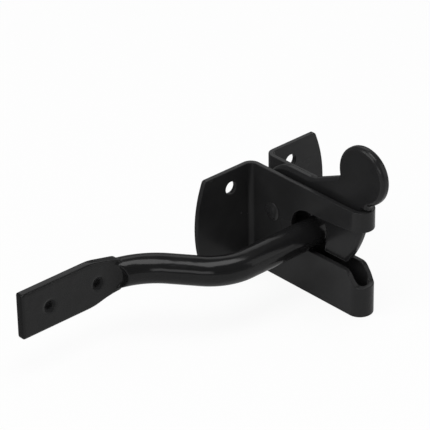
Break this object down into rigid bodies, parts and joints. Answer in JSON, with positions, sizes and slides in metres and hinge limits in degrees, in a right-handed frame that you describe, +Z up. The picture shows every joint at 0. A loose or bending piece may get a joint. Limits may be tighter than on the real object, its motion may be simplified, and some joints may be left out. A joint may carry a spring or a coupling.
{
  "type": "self-latching gate latch",
  "caption": "Gate latch: folded steel case with a pivoted drop tongue and thumb disc that closes over a bent round striker bar with a flat screw end.",
  "frame": {"origin": "on the gate post's face, in the middle of the four post screws", "axes": "+X out from the post, +Y along the post's face towards the gate's free side, +Z up"},
  "size_m": [0.078, 0.1734, 0.0795],
  "materials": {
    "black_sheet": "gloss black paint",
    "black_bar": "gloss black paint",
    "black_tongue": "gloss black paint"
  },
  "bodies": {
    "case": {"case": "black_sheet", "pivot_rivet": "black_sheet", "striker_bar": "black_bar"},
    "tongue": {"tongue": "black_tongue"}
  },
  "joints": [
    {"name": "tongue_pivot", "type": "hinge", "parent": "case", "child": "tongue", "pos_m": [0.0155, 0, 0.0074], "axis": [0, -1, 0], "range_deg": [0, 42]}
  ]
}
